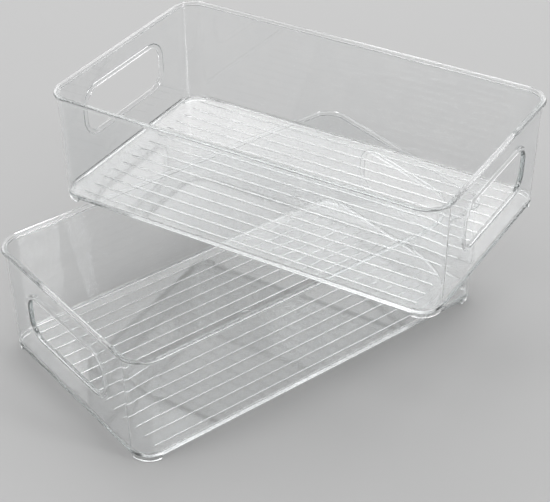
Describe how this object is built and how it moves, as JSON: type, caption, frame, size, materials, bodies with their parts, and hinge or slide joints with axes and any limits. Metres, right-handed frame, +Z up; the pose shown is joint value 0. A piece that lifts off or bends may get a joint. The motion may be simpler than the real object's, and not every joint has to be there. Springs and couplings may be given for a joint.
{
  "type": "fridge organizer bin stack",
  "caption": "Stacked clear open-top fridge bins, the upper lying turned across the lower's rim, with thick rims, handle openings in the end walls, ribbed floors and corner feet.",
  "frame": {"origin": "on the ground under the middle of the pair's bounding box", "axes": "+Z up; +X along the lower bin's length, towards the end under which the upper bin sticks out furthest; +Y across the lower bin"},
  "size_m": [0.3527, 0.3546, 0.1765],
  "materials": {
    "clear_plastic": "clear, colourless, polished"
  },
  "bodies": {
    "lower": {"lower_bin": "clear_plastic"},
    "upper": {"upper_bin": "clear_plastic"}
  },
  "joints": [
    {"name": "upper_bin_lift", "type": "slide", "parent": "lower", "child": "upper", "axis": [0, 0, 1], "range_m": [0, 0.1]}
  ]
}
